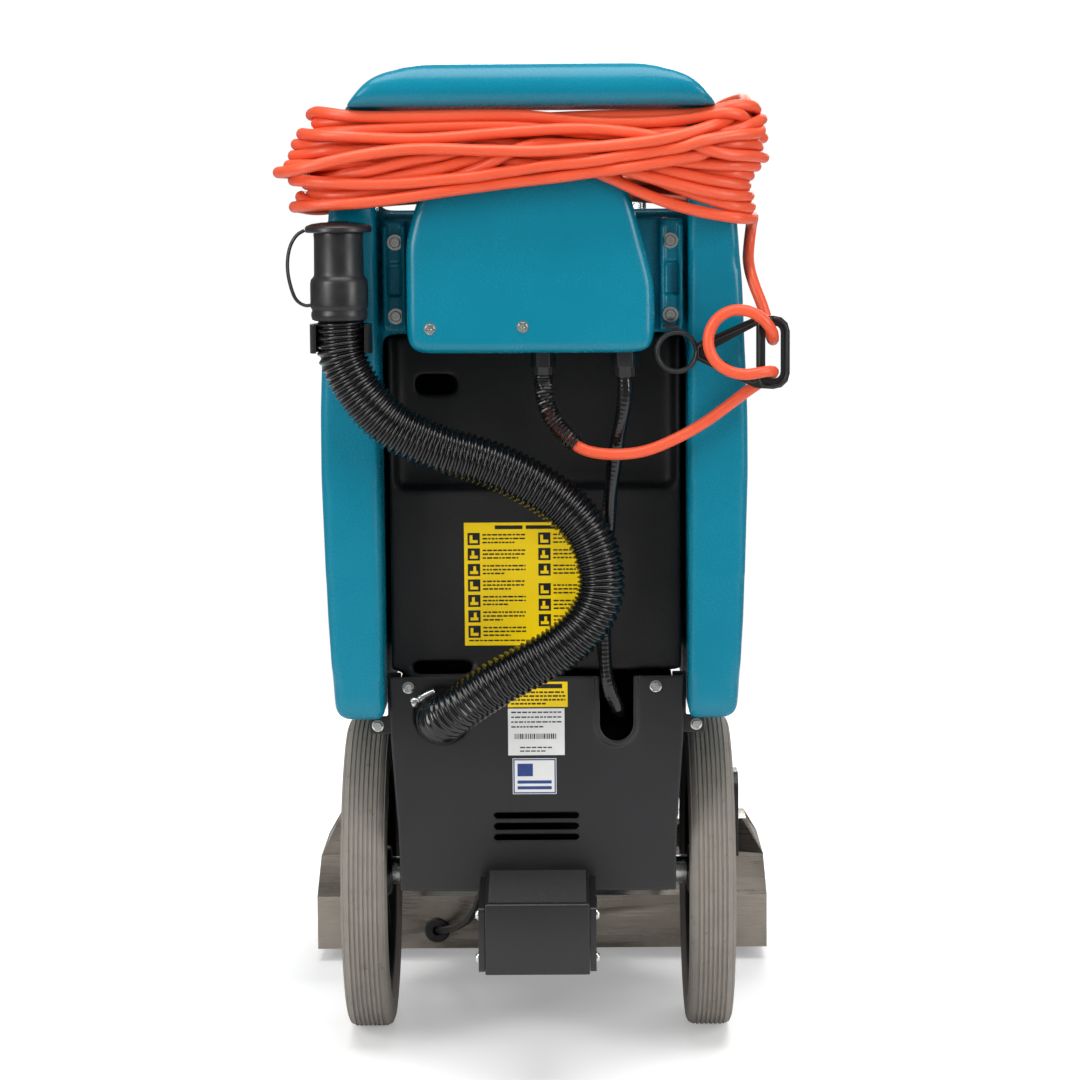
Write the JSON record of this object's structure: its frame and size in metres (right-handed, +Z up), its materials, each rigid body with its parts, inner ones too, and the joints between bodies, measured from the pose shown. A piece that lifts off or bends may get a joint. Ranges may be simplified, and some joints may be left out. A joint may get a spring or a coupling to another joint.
{
  "type": "carpet cleaner machine",
  "caption": "Walk-behind self-contained carpet cleaner: moulded saddle tank with handle, large rear wheels, steel brush head, drain hose and mains cord wound round the handle.",
  "frame": {"origin": "on the floor under the middle of the machine's width and length, cord, plug, drain hose and its cuff left out", "axes": "+Z up, +Y towards the machine's front, +X to the right of a person standing behind it"},
  "size_m": [0.48, 0.774, 0.936],
  "materials": {
    "tyre": "grey non-marking rubber, fine circumferential ribs, light scuffs",
    "rim": "moulded black nylon",
    "zinc": "bright zinc plate",
    "black_steel": "satin black powder coat",
    "teal_tank": "rotomoulded polyethylene, teal, faint orange peel",
    "teal_console": "moulded, teal, semi-gloss",
    "black_tank": "rotomoulded polyethylene, black, sandy texture",
    "black_plastic": "moulded nylon, black",
    "hose_rubber": "black vinyl",
    "cord_orange": "orange vinyl jacket",
    "clear_plastic": "clear polycarbonate",
    "motor_metal": "die-cast, painted grey",
    "stainless": "brushed stainless sheet",
    "bristle": "nylon bristle"
  },
  "bodies": {
    "frame": {"axle": "zinc", "lid_hinge_pin": "zinc", "hose_clamp": "zinc", "chassis": "black_steel", "rear_cover": "black_steel", "shoe_arm_left": "black_steel", "shoe_arm_right": "black_steel", "solution_tank": "teal_tank", "console_bracket": "teal_console", "console_cover": "teal_console", "recovery_tank": "black_tank", "lid_hinge_bracket": "black_plastic", "standpipe": "black_plastic", "dome_gasket": "black_plastic", "switch_plate": "black_plastic", "terminal_block": "black_plastic", "cord_gland": "black_plastic", "loom_gland": "black_plastic", "strain_relief": "black_plastic", "drain_spigot": "black_plastic", "hose_clip": "black_plastic", "cord_restraint": "black_plastic", "restraint_strap": "black_plastic", "vacuum_duct": "black_plastic", "drain_hose": "hose_rubber", "hose_cuff": "hose_rubber", "cap_strap": "hose_rubber", "wire_loom": "hose_rubber", "cord_lead": "cord_orange", "cord_tail": "cord_orange", "cord_bundle": "cord_orange", "power_plug": "cord_orange", "solution_filter": "clear_plastic", "vacuum_motor": "motor_metal", "solution_pump": "motor_metal", "vacuum_shoe": "stainless"},
    "wheel_left": {"tyre_left": "tyre", "rim_left": "rim", "hub_cap_left": "zinc"},
    "wheel_right": {"tyre_right": "tyre", "rim_right": "rim", "hub_cap_right": "zinc"},
    "brush_deck": {"brush_housing": "stainless", "head_yoke": "black_steel", "brush_motor": "motor_metal", "belt_guard": "black_steel", "drive_belt": "hose_rubber", "spray_manifold": "zinc"},
    "brush": {"brush_roller": "bristle"},
    "motor_rotor": {"motor_pulley": "zinc"},
    "pedal": {"brush_pedal": "black_steel", "pedal_lever": "black_steel"},
    "lid": {"solution_lid": "teal_tank"},
    "dome": {"recovery_dome": "clear_plastic"},
    "float": {"float_ball": "clear_plastic"},
    "vacuum_switch": {"rocker_vacuum": "black_plastic"},
    "pump_switch": {"rocker_pump": "black_plastic"},
    "brush_switch": {"rocker_brush": "black_plastic"},
    "spray_switch": {"spray_button": "cord_orange"},
    "cap": {"hose_cap": "hose_rubber"}
  },
  "joints": [
    {"name": "wheel_left_spin", "type": "hinge", "parent": "frame", "child": "wheel_left", "pos_m": [-0.1653, -0.12, 0.1524], "axis": [1, 0, 0], "continuous": true},
    {"name": "wheel_right_spin", "type": "hinge", "parent": "frame", "child": "wheel_right", "pos_m": [0.1653, -0.12, 0.1524], "axis": [1, 0, 0], "continuous": true},
    {"name": "head_lift", "type": "hinge", "parent": "frame", "child": "brush_deck", "pos_m": [0, 0.065, 0.15], "axis": [1, 0, 0], "range_deg": [0, 6]},
    {"name": "brush_spin", "type": "hinge", "parent": "brush_deck", "child": "brush", "pos_m": [0, 0.202, 0.048], "axis": [1, 0, 0], "continuous": true},
    {"name": "motor_spin", "type": "hinge", "parent": "brush_deck", "child": "motor_rotor", "pos_m": [0, 0.202, 0.168], "axis": [1, 0, 0], "continuous": true},
    {"name": "pedal_press", "type": "hinge", "parent": "frame", "child": "pedal", "pos_m": [0, -0.19, 0.135], "axis": [1, 0, 0], "range_deg": [0, 18]},
    {"name": "lid_hinge", "type": "hinge", "parent": "frame", "child": "lid", "pos_m": [0, -0.18, 0.774], "axis": [1, 0, 0], "range_deg": [0, 85]},
    {"name": "dome_lift", "type": "slide", "parent": "frame", "child": "dome", "axis": [0, 0, 1], "range_m": [0, 0.12]},
    {"name": "float_rise", "type": "slide", "parent": "frame", "child": "float", "axis": [0, 0, 1], "range_m": [0, 0.025]},
    {"name": "vacuum_rocker", "type": "hinge", "parent": "frame", "child": "vacuum_switch", "pos_m": [-0.038, -0.329, 0.8473], "axis": [1, 0, 0], "range_deg": [-16, 0]},
    {"name": "pump_rocker", "type": "hinge", "parent": "frame", "child": "pump_switch", "pos_m": [-0.013, -0.329, 0.8473], "axis": [1, 0, 0], "range_deg": [-16, 0]},
    {"name": "brush_rocker", "type": "hinge", "parent": "frame", "child": "brush_switch", "pos_m": [0.012, -0.329, 0.8473], "axis": [1, 0, 0], "range_deg": [-16, 0]},
    {"name": "spray_press", "type": "slide", "parent": "frame", "child": "spray_switch", "axis": [0, 0, -1], "range_m": [0, 0.004], "stiffness_N_per_m": 400},
    {"name": "cap_pull", "type": "slide", "parent": "frame", "child": "cap", "axis": [0, 0, 1], "range_m": [0, 0.005]}
  ],
  "couplings": [
    {"joint": "pedal_press", "follows": "head_lift", "ratio": 3},
    {"joint": "motor_spin", "follows": "brush_spin", "ratio": 1}
  ]
}
